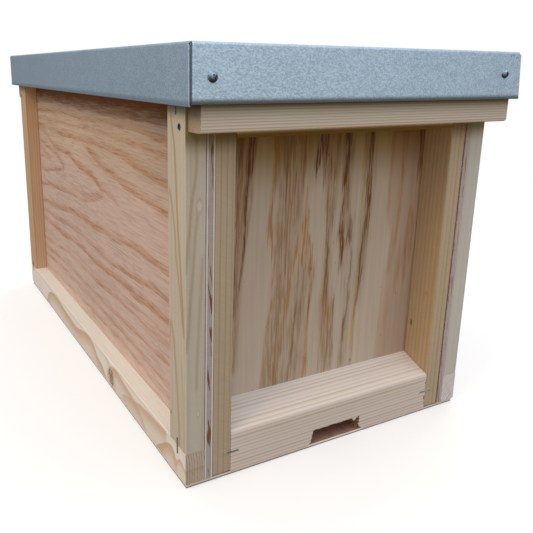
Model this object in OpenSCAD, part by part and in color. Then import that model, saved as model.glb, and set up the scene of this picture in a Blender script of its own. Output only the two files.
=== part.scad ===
// Nucleus box: a small timber and plywood hive for a starter colony, with a lift-off metal roof.
// Millimetres. +Z is up, the entrance faces -Y, and the origin is on the ground under the middle.

/* [Body] */
// Length of the body, front to back
body_l = 460; // [360:1:560]
// Width of the body over its side posts
body_w = 250; // [200:1:420]
// Height from the ground to the seat of the roof
body_h = 262; // [200:1:340]
// Thickness of the plywood in the sides and ends
panel_t = 6; // [4:0.5:12]
// Thickness of the floor sheet
floor_t = 3; // [2.5:0.5:9]
// Setback of the floor sheet inside the outline of the body
floor_setback = 1; // [0:0.5:4]
// Roundness of the long edges of the planed timber
arris_r = 0.8; // [0.3:0.1:2]

/* [Side frames] */
// Thickness of the side posts and rails
post_t = 14; // [12:1:20]
// Width of the side posts
post_w = 25; // [20:1:40]
// Height of the bottom rails
bottom_rail_h = 23; // [18:1:40]
// Height of the top rails
top_rail_h = 12; // [10:1:25]

/* [Ends] */
// Width of the end battens
batten_w = 14; // [11:1:22]
// Depth of the end battens, which sets the end panels back
batten_d = 26; // [22:1:36]
// Gap under the end battens
batten_lift = 0.8; // [0:0.1:3]
// Height of the lug rails
lug_rail_h = 14; // [10:1:20]
// Room above the lug rails for the frame ends and the bees
lug_room = 18; // [14:1:26]
// Height of a sill at its front face
sill_front_h = 30; // [22:1:45]
// Height of a sill where it meets the end panel
sill_back_h = 39.5; // [30:0.5:60]
// Roundness of the front top edge of a sill
sill_r = 3; // [1:0.5:6]

/* [Entrance] */
// Width of the entrance
slot_w = 43.5; // [20:0.5:90]
// Height of the entrance
slot_h = 10.5; // [6:0.5:16]

/* [Hand bars] */
// How far a hand bar stands out from the body
bar_d = 16; // [14:1:30]
// Height of a hand bar
bar_h = 27; // [22:1:32]
// Sideways offset of the hand bars, as they were fixed
bar_shift = 2; // [-3:0.5:3]
// Roundness of the outer edges of a hand bar
bar_r = 2.2; // [0.5:0.1:5]

/* [Roof] */
// Thickness of the metal sheet
sheet_t = 0.7; // [0.5:0.1:1.5]
// Inside radius of the folds in the sheet
bend_r = 1; // [0.5:0.1:3]
// Depth of the flanges at the two ends
end_flange_h = 32.7; // [28:0.1:60]
// Depth of the flanges along the two sides
side_flange_h = 33.9; // [28:0.1:60]
// Length of the corner tabs behind the end flanges
tab_l = 24; // [16:1:40]
// How far the corner tabs stop above the lower edges of the end flanges
tab_trim = 1.5; // [0.5:0.5:4]
// Gap between a corner tab and the flange that laps it
lap_gap = 0.1; // [0.1:0.1:0.5]
// Setback of the end flanges from the corners
seam_setback = 0.4; // [0:0.1:1.5]
// Clearance between a hand bar and the corner tabs
bar_clear = 0.5; // [0.4:0.1:3]
// Clearance between the side posts and the side flanges
side_clear = 5.3; // [4:0.1:9]
// Thickness of the roof deck
deck_t = 6; // [4:0.5:12]
// Height of the roof rims
rim_h = 15; // [12:1:24]
// Width of the roof rims
rim_w = 14; // [12:1:24]

/* [Fixings] */
// Distance of the roof screws from the ends of a flange
screw_inset = 14; // [8:0.5:22]
// Height of the roof screws above the seat of the roof, on average
screw_rise = 5; // [4:0.5:8]
// How much one roof screw sits above and the other below that height
screw_stagger = 1.5; // [0:0.5:2]
// Diameter of a roof screw's head
screw_head_d = 6.4; // [5:0.1:9]
// Height of a roof screw's domed head
screw_head_h = 2.2; // [1.5:0.1:3]
// Diameter of a roof screw's shank
screw_d = 3.2; // [2.5:0.1:4]
// Length of a roof screw under its head
screw_l = 14; // [8:0.5:15]
// Width of a staple's crown
staple_w = 12; // [8:0.5:14]
// Length of a staple's legs
staple_l = 11; // [6:0.5:11.5]
// Width of the staple wire
wire_w = 1.2; // [0.8:0.1:1.6]
// Thickness of the staple wire
wire_t = 0.7; // [0.5:0.1:1]
// Height that fixings stand proud of the timber
proud = 0.3; // [0.1:0.1:0.5]
// Diameter of a post nail's head
nail_head_d = 4.5; // [4:0.5:8]
// Depth that the post nails are sunk below the face of the timber
nail_sink = 0.6; // [0.2:0.1:1.5]
// Thickness of a nail's head
nail_head_t = 0.8; // [0.6:0.1:1.2]
// Diameter of a post nail's shank
nail_d = 2.8; // [2:0.1:3.4]
// Distance of the post nails from the ends of the body
nail_inset = 8; // [6:0.5:10]
// Distance of the post nails below the seat of the roof
nail_drop = 25; // [20:1:45]
// Depth that the post nails bite into the end battens
nail_bite = 8; // [4:0.5:10]
// Diameter of a floor nail's head
floor_nail_head_d = 5; // [4:0.5:6]
// Diameter of a floor nail's shank
floor_nail_d = 2; // [1.5:0.1:2.6]
// Depth that the floor nails bite into the timber
floor_nail_bite = 14; // [8:1:16]
// Spacing of the floor nails along a side
floor_nail_pitch = 120; // [80:5:150]
// Distance of the floor nails in a sill from its middle
sill_nail_x = 50; // [48:1:60]
// Diameter of a hand bar screw's head
bar_screw_head_d = 8; // [6:0.5:9]
// Diameter of a hand bar screw's shank
bar_screw_d = 4; // [3:0.1:5]
// Depth that the hand bar screws bite into the end battens
bar_screw_bite = 18; // [10:1:20]
// Distance of the hand bar screws below the seat of the roof
bar_screw_drop = 7; // [5:0.5:8]

/* [Hidden] */
$fn = 48;

// Overshoot of a cut past the face that it starts from
over = 1;

// Half sizes of the body, and the faces that pieces meet on
half_l = body_l / 2;
half_w = body_w / 2;
side_in = half_w - post_t - panel_t;
batten_in = side_in - batten_w;
end_out = half_l - batten_d;
post_foot_z = floor_t + bottom_rail_h;
post_top_z = body_h - top_rail_h;
lug_rest_z = body_h - lug_room;

// Roof: outline, level of the top, and the timber inside the folded sheet
lap_t = 2 * sheet_t + lap_gap;
roof_l = body_l + 2 * (bar_d + bar_clear + lap_t);
roof_w = body_w + 2 * (side_clear + sheet_t);
deck_z = body_h + rim_h;
roof_z = deck_z + deck_t + sheet_t;
fold_r = bend_r + sheet_t;
lining = max(fold_r, lap_t);
liner_l = roof_l - 2 * lining;
liner_w = roof_w - 2 * lining;

// Places of the fixings
nail_z = body_h - nail_drop;
side_staple_y = half_l - post_w / 2;
end_staple_z = floor_t + sill_front_h / 2;
bar_screw_x = side_in - batten_w / 2;
bar_screw_z = body_h - bar_screw_drop;
sill_nail_y = half_l - batten_d / 2;
rail_nail_x = half_w - post_t / 2;
rail_nail_count = floor((body_l - 2 * post_w) / floor_nail_pitch);
rail_nail_y = [for (i = [0 : rail_nail_count - 1]) (i - (rail_nail_count - 1) / 2) * floor_nail_pitch];

pine = [0.82, 0.75, 0.62];
pale_pine = [0.86, 0.80, 0.70];
oak_ply = [0.76, 0.62, 0.50];
streaked_ply = [0.68, 0.57, 0.44];
red_ply = [0.66, 0.47, 0.36];
zinc = [0.66, 0.71, 0.75];
steel = [0.55, 0.56, 0.57];

// Everything is drawn at the front left corner: these carry it to the right side or to the rear.
module on_side(right) {
    mirror([right ? 1 : 0, 0, 0]) children();
}

module at_end(rear) {
    mirror([0, rear ? 1 : 0, 0]) children();
}

module four_corners() {
    for (right = [false, true])
        for (rear = [false, true])
            on_side(right) at_end(rear) children();
}

// Rectangle with rounded corners, from its lower left corner
module eased_rect(w, h, r) {
    translate([r, 0]) square([w - 2 * r, h]);
    translate([0, r]) square([w, h - 2 * r]);
    for (x = [r, w - r])
        for (y = [r, h - r])
            translate([x, y]) circle(r);
}

// Planed sticks with eased long edges, from their lowest corner
module stick_x(l, d, h) {
    rotate([90, 0, 90]) linear_extrude(l) eased_rect(d, h, arris_r);
}

module stick_y(w, l, h) {
    translate([0, l, 0]) rotate([90, 0, 0]) linear_extrude(l) eased_rect(w, h, arris_r);
}

module stick_z(w, d, l) {
    linear_extrude(l) eased_rect(w, d, arris_r);
}

// Fixings point along -Z, with the timber's face at z = 0
module nail(head_d, shank_d, l, rise) {
    translate([0, 0, rise - nail_head_t]) cylinder(d = head_d, h = nail_head_t);
    translate([0, 0, -l]) cylinder(d = shank_d, h = l + rise - nail_head_t / 2);
}

module staple() {
    translate([-staple_w / 2, -wire_w / 2, proud - wire_t]) cube([staple_w, wire_w, wire_t]);
    for (x = [-staple_w / 2, staple_w / 2 - wire_t])
        translate([x, -wire_w / 2, -staple_l]) cube([wire_t, wire_w, staple_l + proud - wire_t / 2]);
}

module dome_screw() {
    dome_r = (pow(screw_head_d / 2, 2) + pow(screw_head_h, 2)) / (2 * screw_head_h);
    difference() {
        intersection() {
            cylinder(d = screw_head_d, h = screw_head_h);
            translate([0, 0, screw_head_h - dome_r]) sphere(dome_r);
        }
        for (turn = [0, 90])
            rotate([0, 0, turn + 20])
                translate([-screw_d / 2, -wire_w / 2, screw_head_h / 2]) cube([screw_d, wire_w, screw_head_h]);
    }
    translate([0, 0, -screw_l]) cylinder(d = screw_d, h = screw_l);
}

module countersunk_screw(l) {
    head_h = (bar_screw_head_d - bar_screw_d) / 2;
    translate([0, 0, -head_h]) cylinder(d1 = bar_screw_d, d2 = bar_screw_head_d, h = head_h);
    translate([0, 0, -l]) cylinder(d = bar_screw_d, h = l);
}

// Places of the fixings at the front left corner, shared by the fixings and by the holes for them
module corner_nail() {
    translate([-half_w, nail_inset - half_l, nail_z])
        rotate([0, -90, 0])
            nail(nail_head_d, nail_d, post_t + panel_t + nail_bite, -nail_sink);
}

// The head is driven below the face, so its hole is open above it
module corner_nail_hole() {
    corner_nail();
    translate([-half_w - over, nail_inset - half_l, nail_z])
        rotate([0, 90, 0])
            cylinder(d = nail_head_d, h = over + nail_sink + nail_head_t / 2);
}

module corner_staple(z) {
    translate([-half_w, -side_staple_y, z]) rotate([0, -90, 0]) staple();
}

module corner_side_staples() {
    corner_staple(post_foot_z);
    corner_staple(post_top_z);
}

module corner_end_staple() {
    translate([-batten_in, -half_l, end_staple_z]) rotate([90, 0, 0]) staple();
}

module corner_bar_screw() {
    translate([-bar_screw_x, -half_l - bar_d, bar_screw_z])
        rotate([90, 0, 0])
            countersunk_screw(bar_d + bar_screw_bite);
}

module floor_nail() {
    rotate([180, 0, 0]) nail(floor_nail_head_d, floor_nail_d, floor_t + floor_nail_bite, -proud);
}

module side_floor_nails() {
    for (y = rail_nail_y)
        translate([-rail_nail_x, y, 0]) floor_nail();
}

module end_floor_nails() {
    for (x = [-sill_nail_x, sill_nail_x])
        translate([x, -sill_nail_y, 0]) floor_nail();
}

// The left roof screw of an end sits a little lower than the right one
module end_roof_screws() {
    for (side = [-1, 1])
        translate([side * (roof_w / 2 - screw_inset), -roof_l / 2, body_h + screw_rise + side * screw_stagger])
            rotate([90, 0, 0])
                dome_screw();
}

// Body
module floor_sheet() {
    color(red_ply)
        difference() {
            translate([floor_setback - half_w, floor_setback - half_l, 0])
                cube([body_w - 2 * floor_setback, body_l - 2 * floor_setback, floor_t]);
            for (right = [false, true])
                on_side(right) side_floor_nails();
            for (rear = [false, true])
                at_end(rear) end_floor_nails();
        }
}

module side_panel() {
    color(oak_ply)
        difference() {
            translate([post_t - half_w, -half_l, floor_t]) cube([panel_t, body_l, body_h - floor_t]);
            for (rear = [false, true])
                at_end(rear) corner_nail();
        }
}

module bottom_rail() {
    color(pale_pine)
        difference() {
            translate([-half_w, -half_l, floor_t]) stick_y(post_t, body_l, bottom_rail_h);
            side_floor_nails();
            for (rear = [false, true])
                at_end(rear) corner_staple(post_foot_z);
        }
}

module top_rail() {
    color(pine)
        difference() {
            translate([-half_w, -half_l, post_top_z]) stick_y(post_t, body_l, top_rail_h);
            for (rear = [false, true])
                at_end(rear) corner_staple(post_top_z);
        }
}

module post() {
    color(pine)
        difference() {
            translate([-half_w, -half_l, post_foot_z]) stick_z(post_t, post_w, post_top_z - post_foot_z);
            corner_side_staples();
            corner_nail_hole();
        }
}

module end_panel() {
    color(streaked_ply)
        translate([-side_in, -end_out, floor_t]) cube([2 * side_in, panel_t, lug_rest_z - floor_t]);
}

// The way in for the bees runs through the sill and the panel behind it
module entrance_cut() {
    translate([-slot_w / 2, -half_l - over, floor_t - over])
        cube([slot_w, batten_d + panel_t + 2 * over, slot_h + over]);
}

module batten() {
    color(pine)
        difference() {
            translate([-side_in, -half_l, floor_t + batten_lift])
                stick_z(batten_w, batten_d, body_h - floor_t - batten_lift);
            corner_nail();
            corner_end_staple();
            corner_bar_screw();
        }
}

module lug_rail() {
    color(pine)
        translate([-batten_in, -half_l, lug_rest_z - lug_rail_h]) stick_x(2 * batten_in, batten_d, lug_rail_h);
}

// Section of a sill: upright front, sloping top that sheds water, and a rounded front edge
module sill_section() {
    slope = (sill_back_h - sill_front_h) / batten_d;
    slant = sqrt(1 + slope * slope);
    round_z = sill_front_h + sill_r * (slope - slant);
    difference() {
        polygon([[0, 0], [0, sill_front_h], [batten_d, sill_back_h], [batten_d, 0]]);
        difference() {
            translate([-over, round_z]) square([over + sill_r * (1 - slope / slant), sill_r + over]);
            translate([sill_r, round_z]) circle(sill_r);
        }
    }
}

module sill() {
    difference() {
        translate([-batten_in, -half_l, floor_t])
            rotate([90, 0, 90])
                linear_extrude(2 * batten_in)
                    sill_section();
        end_floor_nails();
        for (right = [false, true])
            on_side(right) corner_end_staple();
    }
}

// Section of a hand bar: square against the body, rounded outside
module bar_section() {
    translate([bar_r, 0]) square([bar_d - bar_r, bar_h]);
    translate([0, bar_r]) square([bar_r, bar_h - 2 * bar_r]);
    for (z = [bar_r, bar_h - bar_r])
        translate([bar_r, z]) circle(bar_r);
}

module hand_bar() {
    color(pine)
        difference() {
            translate([bar_shift - half_w, -half_l - bar_d, body_h - bar_h])
                rotate([90, 0, 90])
                    linear_extrude(body_w)
                        bar_section();
            for (right = [false, true])
                on_side(right) corner_bar_screw();
        }
}

module left_side_panel() on_side(false) side_panel();
module right_side_panel() on_side(true) side_panel();
module left_bottom_rail() on_side(false) bottom_rail();
module right_bottom_rail() on_side(true) bottom_rail();
module left_top_rail() on_side(false) top_rail();
module right_top_rail() on_side(true) top_rail();
module left_front_post() on_side(false) at_end(false) post();
module right_front_post() on_side(true) at_end(false) post();
module left_rear_post() on_side(false) at_end(true) post();
module right_rear_post() on_side(true) at_end(true) post();
module left_front_batten() on_side(false) at_end(false) batten();
module right_front_batten() on_side(true) at_end(false) batten();
module left_rear_batten() on_side(false) at_end(true) batten();
module right_rear_batten() on_side(true) at_end(true) batten();
module front_lug_rail() at_end(false) lug_rail();
module rear_lug_rail() at_end(true) lug_rail();
module front_hand_bar() at_end(false) hand_bar();
module rear_hand_bar() at_end(true) hand_bar();
module rear_panel() at_end(true) end_panel();

module front_panel() {
    color(streaked_ply)
        difference() {
            end_panel();
            entrance_cut();
        }
}

module entrance_sill() {
    color(pale_pine)
        difference() {
            sill();
            entrance_cut();
        }
}

module rear_sill() {
    color(pale_pine) at_end(true) sill();
}

module post_nails() {
    color(steel) four_corners() corner_nail();
}

module side_staples() {
    color(steel) four_corners() corner_side_staples();
}

module end_staples() {
    color(steel) four_corners() corner_end_staple();
}

module hand_bar_screws() {
    color(steel) four_corners() corner_bar_screw();
}

module floor_nails() {
    color(steel) {
        for (right = [false, true])
            on_side(right) side_floor_nails();
        for (rear = [false, true])
            at_end(rear) end_floor_nails();
    }
}

// Roof
// Outline of a block with rounded top edges, from its bottom middle
module folded_outline(w, h, r) {
    translate([-w / 2, 0]) square([w, h - r]);
    translate([r - w / 2, 0]) square([w - 2 * r, h]);
    for (x = [r - w / 2, w / 2 - r])
        translate([x, h - r]) circle(r);
}

// Section through the sheet where it is folded down along both edges
module folded_section(w, h) {
    difference() {
        folded_outline(w, h, fold_r);
        translate([0, -over]) folded_outline(w - 2 * sheet_t, h - sheet_t + over, bend_r);
    }
}

// A corner tab: the side flange turns the corner and laps behind the end flange, trimmed to stay out of sight
module corner_tab() {
    tab_y = roof_l / 2 - sheet_t - lap_gap;
    translate([fold_r - roof_w / 2, fold_r - tab_y, roof_z - side_flange_h])
        rotate([0, 0, 180])
            rotate_extrude(angle = 90)
                translate([bend_r, 0]) square([sheet_t, side_flange_h - fold_r]);
    translate([fold_r - roof_w / 2, -tab_y, roof_z - end_flange_h + tab_trim])
        cube([tab_l, sheet_t, end_flange_h - tab_trim - fold_r]);
}

module roof_cover() {
    side_run = roof_l - 2 * (sheet_t + lap_gap + fold_r);
    end_run = roof_w - 2 * fold_r;
    flange_run = roof_w - 2 * seam_setback;
    color(zinc)
        difference() {
            union() {
                translate([0, side_run / 2, roof_z - side_flange_h])
                    rotate([90, 0, 0])
                        linear_extrude(side_run)
                            folded_section(roof_w, side_flange_h);
                translate([-end_run / 2, 0, roof_z - end_flange_h])
                    rotate([90, 0, 90])
                        linear_extrude(end_run)
                            folded_section(roof_l, end_flange_h);
                for (rear = [false, true])
                    at_end(rear)
                        translate([-flange_run / 2, -roof_l / 2, roof_z - end_flange_h])
                            cube([flange_run, sheet_t, end_flange_h - fold_r]);
                four_corners() corner_tab();
            }
            for (rear = [false, true])
                at_end(rear) end_roof_screws();
        }
}

module roof_deck() {
    color(oak_ply)
        translate([-liner_w / 2, -liner_l / 2, deck_z]) cube([liner_w, liner_l, deck_t]);
}

module end_rim() {
    color(pine)
        difference() {
            translate([-liner_w / 2, -liner_l / 2, body_h]) stick_x(liner_w, rim_w, rim_h);
            end_roof_screws();
        }
}

module side_rim() {
    color(pine)
        translate([-liner_w / 2, rim_w - liner_l / 2, body_h]) stick_y(rim_w, liner_l - 2 * rim_w, rim_h);
}

module front_roof_rim() at_end(false) end_rim();
module rear_roof_rim() at_end(true) end_rim();
module left_roof_rim() on_side(false) side_rim();
module right_roof_rim() on_side(true) side_rim();

module roof_screws() {
    color(steel)
        for (rear = [false, true])
            at_end(rear) end_roof_screws();
}

floor_sheet();
left_side_panel();
right_side_panel();
left_bottom_rail();
right_bottom_rail();
left_top_rail();
right_top_rail();
left_front_post();
right_front_post();
left_rear_post();
right_rear_post();
front_panel();
rear_panel();
left_front_batten();
right_front_batten();
left_rear_batten();
right_rear_batten();
front_lug_rail();
rear_lug_rail();
entrance_sill();
rear_sill();
front_hand_bar();
rear_hand_bar();
post_nails();
side_staples();
end_staples();
hand_bar_screws();
floor_nails();
roof_cover();
roof_deck();
front_roof_rim();
rear_roof_rim();
left_roof_rim();
right_roof_rim();
roof_screws();
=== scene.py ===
import bpy
import math
from functools import partial
from mathutils import Matrix, Vector


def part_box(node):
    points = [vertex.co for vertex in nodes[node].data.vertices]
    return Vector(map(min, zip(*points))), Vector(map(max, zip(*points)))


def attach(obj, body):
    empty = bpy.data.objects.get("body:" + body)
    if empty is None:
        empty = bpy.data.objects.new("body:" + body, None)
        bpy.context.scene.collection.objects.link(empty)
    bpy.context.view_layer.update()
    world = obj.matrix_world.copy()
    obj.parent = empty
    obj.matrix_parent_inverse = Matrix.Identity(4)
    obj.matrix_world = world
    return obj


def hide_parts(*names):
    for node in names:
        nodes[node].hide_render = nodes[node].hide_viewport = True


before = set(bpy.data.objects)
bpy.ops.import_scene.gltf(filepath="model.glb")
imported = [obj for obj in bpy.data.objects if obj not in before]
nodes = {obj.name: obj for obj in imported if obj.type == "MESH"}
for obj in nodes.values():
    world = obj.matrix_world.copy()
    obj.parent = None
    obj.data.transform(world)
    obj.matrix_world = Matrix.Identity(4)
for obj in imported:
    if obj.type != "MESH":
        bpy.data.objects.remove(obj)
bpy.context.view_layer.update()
newPieces = {}
print("frame loaded,", len(nodes), "nodes")


# Small helpers for node trees: each one adds to the tree that was started last
work = {}


def add(kind):
    return work["tree"].nodes.new("ShaderNode" + kind)


def link(start, end):
    work["tree"].links.new(start, end)


def startTree(owner):
    owner.use_nodes = True
    work["tree"] = owner.node_tree
    owner.node_tree.nodes.clear()


def startMaterial(name):
    mat = bpy.data.materials.new(name)
    startTree(mat)
    output = add("OutputMaterial")
    shader = add("BsdfPrincipled")
    link(shader.outputs["BSDF"], output.inputs["Surface"])
    work.update(mat=mat, shader=shader)


def plug(socket, value):
    if isinstance(value, bpy.types.NodeSocket):
        link(value, socket)
    else:
        socket.default_value = (*value, 1.0) if socket.type == "RGBA" else value


def calc(operation, a, b=None, c=None, clamp=False):
    node = add("Math")
    node.operation = operation
    node.use_clamp = clamp
    for socket, value in zip(node.inputs, (a, b, c)):
        if value is not None:
            plug(socket, value)
    return node.outputs[0]


times = partial(calc, "MULTIPLY")
minus = partial(calc, "SUBTRACT")
plus = partial(calc, "ADD")
mulAdd = partial(calc, "MULTIPLY_ADD")


def gapTo(a, b):
    return calc("ABSOLUTE", minus(a, b))


# A value pushed to and fro by a noise
def shaken(value, noise, depth):
    return mulAdd(minus(noise, 0.5), depth, value)


def vectorCalc(operation, a, b=None, scale=None):
    node = add("VectorMath")
    node.operation = operation
    plug(node.inputs[0], a)
    if b is not None:
        plug(node.inputs[1], b)
    if scale is not None:
        plug(node.inputs["Scale"], scale)
    return node.outputs["Value" if operation == "LENGTH" else "Vector"]


def join(x, y, z):
    node = add("CombineXYZ")
    for socket, value in zip(node.inputs, (x, y, z)):
        plug(socket, value)
    return node.outputs[0]


def split(vector):
    node = add("SeparateXYZ")
    plug(node.inputs[0], vector)
    return node.outputs


def place():
    return add("TexCoord").outputs["Object"]


def lean(axis):
    return split(add("TexCoord").outputs["Normal"])[axis]


def facing(axis):
    return spread(calc("ABSOLUTE", lean(axis)), 0.6, 0.85)


def cloud(vector, stretch, seed, detail=2.0, rough=0.5, colour=False):
    node = add("TexNoise")
    moved = vectorCalc("MULTIPLY", vector, stretch)
    plug(node.inputs["Vector"], vectorCalc("ADD", moved, (seed, seed * 1.7, seed * 2.3)))
    node.inputs["Scale"].default_value = 1.0
    node.inputs["Detail"].default_value = detail
    node.inputs["Roughness"].default_value = rough
    return node.outputs[1 if colour else 0]


def spread(value, low, high, toLow=0.0, toHigh=1.0, soft=True):
    node = add("MapRange")
    node.interpolation_type = "SMOOTHSTEP" if soft else "LINEAR"
    for socket, number in zip(node.inputs, (value, low, high, toLow, toHigh)):
        plug(socket, number)
    return node.outputs[0]


# Full from first to last, with a fade over each end
def between(value, first, last, outside, inside):
    return times(spread(value, first - outside, first + inside), spread(value, last + outside, last - inside))


# The points of a drawn row of millimetres, so many numbers to a point
def metres(row, size=2):
    return [tuple(number / 1000 for number in row[at:at + size]) for at in range(0, len(row), size)]


def curve(value, stops, easing="LINEAR"):
    node = add("ValToRGB")
    ramp = node.color_ramp
    ramp.interpolation = easing
    while len(ramp.elements) < len(stops):
        ramp.elements.new(1.0)
    for element, (position, tone) in zip(ramp.elements, stops):
        element.position = position
        element.color = (tone, tone, tone, 1.0)
    plug(node.inputs[0], value)
    return node.outputs[0]


# A drawn line: how far up or across it lies at each place along the grain. The node's curve holds
# 0 to 1 only, so lines that go below nought are lifted by the caller
def trace(value, low, high, points):
    node = add("FloatCurve")
    node.mapping.extend = "HORIZONTAL"
    line = node.mapping.curves[0]
    drawn = sorted(((at - low) / (high - low), to) for at, to in points)
    line.points[0].location = drawn[0]
    line.points[1].location = drawn[-1]
    for spot in drawn[1:-1]:
        line.points.new(*spot)
    node.mapping.update()
    plug(node.inputs["Value"], spread(value, low, high, soft=False))
    return node.outputs[0]


def paint(factor, under, over, mode="MIX"):
    node = add("Mix")
    node.data_type = "RGBA"
    node.blend_type = mode
    for number, value in ((0, factor), (6, under), (7, over)):
        plug(node.inputs[number], value)
    return node.outputs[2]


# Multiplies a colour by a tint: used for the wood's own tones and dust, and for painted shade and painted
# highlights
def stain(factor, under, tint):
    return paint(factor, under, tint, "MULTIPLY")


def brighten(colour, value):
    node = add("HueSaturation")
    plug(node.inputs["Value"], value)
    plug(node.inputs["Color"], colour)
    return node.outputs[0]


def around(value, depth):
    return mulAdd(value, depth, 1.0 - depth / 2.0)


# The last step of a material: its sockets are filled, and it goes on the node and on what stands for it
def coat(node, colour, rough, height, depth, strength, specular=0.5, metal=0.0):
    bump = add("Bump")
    for name, value in (("Height", height), ("Distance", depth), ("Strength", strength)):
        plug(bump.inputs[name], value)
    for name, value in (("Base Color", colour), ("Roughness", rough), ("Specular IOR Level", specular),
                        ("Metallic", metal), ("Normal", bump.outputs[0])):
        plug(work["shader"].inputs[name], value)
    for thing in (nodes[node], *newPieces.get(node, ())):
        mesh = thing.data
        mesh.materials.clear()
        mesh.materials.append(work["mat"])
        for face in mesh.polygons:
            face.material_index = 0


def pickNone():
    bpy.ops.object.select_all(action="DESELECT")


def pick(piece):
    pickNone()
    piece.select_set(True)
    bpy.context.view_layer.objects.active = piece


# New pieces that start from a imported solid: its loose triangles are merged into clean faces first
def copyOf(node, name):
    piece = bpy.data.objects.new(name, nodes[node].data.copy())
    piece.data.name = name
    bpy.context.collection.objects.link(piece)
    pick(piece)
    bpy.ops.object.mode_set(mode="EDIT")
    bpy.ops.mesh.select_all(action="SELECT")
    bpy.ops.mesh.remove_doubles(threshold=0.00002)
    bpy.ops.mesh.dissolve_limited(angle_limit=math.radians(0.5))
    bpy.ops.object.mode_set(mode="OBJECT")
    return piece


def settle(piece, angle):
    pick(piece)
    bpy.ops.object.shade_smooth_by_angle(angle=math.radians(angle))
    even = piece.modifiers.new("evenNormals", "WEIGHTED_NORMAL")
    even.weight = 100
    even.keep_sharp = True
    bpy.ops.object.modifier_apply(modifier="evenNormals")


def standFor(piece, node, body):
    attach(piece, body)
    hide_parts(node)
    newPieces[node] = (piece,)


# A sill whose entrance was broken out rather than cut clean: a thin plate closes the front of the slot,
# then the ragged outline is cut out of it, in millimetres across and up
wornSill = {
    "plate": ((-27.0, 27.0), (3.0, 16.0)), "plateDepth": 0.0035,
    "opening": (
        (-24.6, -3.0), (-24.4, 3.6), (-23.2, 4.6), (-22.8, 5.8), (-23.4, 6.6), (-22.2, 7.6),
        (-22.0, 8.9), (-22.7, 9.7), (-21.8, 10.7), (-21.4, 12.4), (-21.8, 13.1), (-20.4, 13.9),
        (-18.8, 14.2), (-16.5, 13.7), (-12.5, 13.9), (-8.0, 13.6), (-5.5, 14.0), (-3.6, 14.2),
        (-1.0, 13.8), (4.0, 13.7), (9.0, 14.0), (12.6, 13.8), (14.6, 14.0), (15.4, 12.9), (16.3, 12.6),
        (17.2, 11.2), (17.9, 12.2), (18.8, 12.3), (19.6, 13.4), (20.5, 13.0), (21.4, 14.3), (22.3, 14.1),
        (22.0, 12.2), (22.7, 11.2), (21.9, 9.8), (22.5, 8.6), (21.6, 7.4), (22.3, 6.4), (21.9, 5.4),
        (23.4, 4.4), (24.9, 3.6), (25.2, -3.0)),
    "chips": (
        ((89.9, 25.9), (92.0, 26.4), (92.0, 22.9), (90.3, 23.8)),
        ((90.2, 20.6), (92.0, 21.0), (92.0, 18.8), (90.6, 19.1)),
        ((89.4, 13.0), (92.0, 14.2), (92.0, 9.8), (90.2, 10.2)),
        ((90.0, 7.2), (92.0, 7.8), (92.0, 5.0), (90.6, 5.8))),
    "chipDepth": 0.0009, "before": 0.001, "beyond": 0.0005, "smooth": 25,
}


def combine(piece, tool, operation):
    pickNone()
    bpy.context.view_layer.objects.active = piece
    change = piece.modifiers.new("breakOut", "BOOLEAN")
    change.operation = operation
    change.solver = "EXACT"
    change.object = tool
    bpy.ops.object.modifier_apply(modifier="breakOut")
    bpy.data.objects.remove(tool)


def cutAway(piece, outline, front, back):
    pickNone()
    bpy.ops.mesh.primitive_circle_add(vertices=len(outline), fill_type="NGON")
    cutter = bpy.context.object
    for vertex, (x, z) in zip(cutter.data.vertices, outline):
        vertex.co = (x / 1000, front, z / 1000)
    bpy.ops.object.mode_set(mode="EDIT")
    bpy.ops.mesh.select_all(action="SELECT")
    bpy.ops.mesh.extrude_region_move(TRANSFORM_OT_translate={"value": (0, back - front, 0)})
    bpy.ops.mesh.select_all(action="SELECT")
    bpy.ops.mesh.normals_make_consistent(inside=False)
    bpy.ops.object.mode_set(mode="OBJECT")
    combine(piece, cutter, "DIFFERENCE")


def makeSill():
    look = wornSill
    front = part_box("entrance_sill")[0][1]
    piece = copyOf("entrance_sill", "worn_sill")
    (left, right), (foot, top) = look["plate"]
    pickNone()
    bpy.ops.mesh.primitive_cube_add(size=1.0)
    plate = bpy.context.object
    for vertex in plate.data.vertices:
        corner = vertex.co.copy()
        vertex.co = ((right if corner.x > 0 else left) / 1000,
                     front + (look["plateDepth"] if corner.y > 0 else 0.0),
                     (top if corner.z > 0 else foot) / 1000)
    combine(piece, plate, "UNION")
    cutAway(piece, look["opening"], front - look["before"], front + look["plateDepth"] + look["beyond"])
    for outline in look["chips"]:
        cutAway(piece, outline, front - look["before"], front + look["chipDepth"])
    settle(piece, look["smooth"])
    standFor(piece, "entrance_sill", "box")


# A roof sheet whose right flange has sprung a little past its fold, trimmed level with the front one
sprungRoof = {"bendFrom": 0.116, "spring": 0.0045, "rearShare": 0.25, "rightDepth": 0.0327,
              "corner": (0.85, 0.06, 0.004), "cornerFill": 0.0012, "smooth": 25}


def makeRoof():
    look = sprungRoof
    low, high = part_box("roof_cover")
    piece = copyOf("roof_cover", "sprung_roof")
    cornerOut, cornerDrop, cornerBack = look["corner"]
    for vertex in piece.data.vertices:
        out = max(0.0, (vertex.co.x - look["bendFrom"]) / (high[0] - look["bendFrom"]))
        drop = (high[2] - vertex.co.z) / (high[2] - low[2])
        back = (vertex.co.y - low[1]) / (high[1] - low[1])
        vertex.co.x += look["spring"] * out * drop * (1.0 - (1.0 - look["rearShare"]) * back)
        if out > cornerOut and drop < cornerDrop and back < cornerBack:
            vertex.co.x += look["cornerFill"]
        if out > 0.0:
            vertex.co.z = max(vertex.co.z, high[2] - look["rightDepth"])
    settle(piece, look["smooth"])
    standFor(piece, "roof_cover", "roof")


makeSill()
makeRoof()
print("worn sill and sprung roof made")


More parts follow.
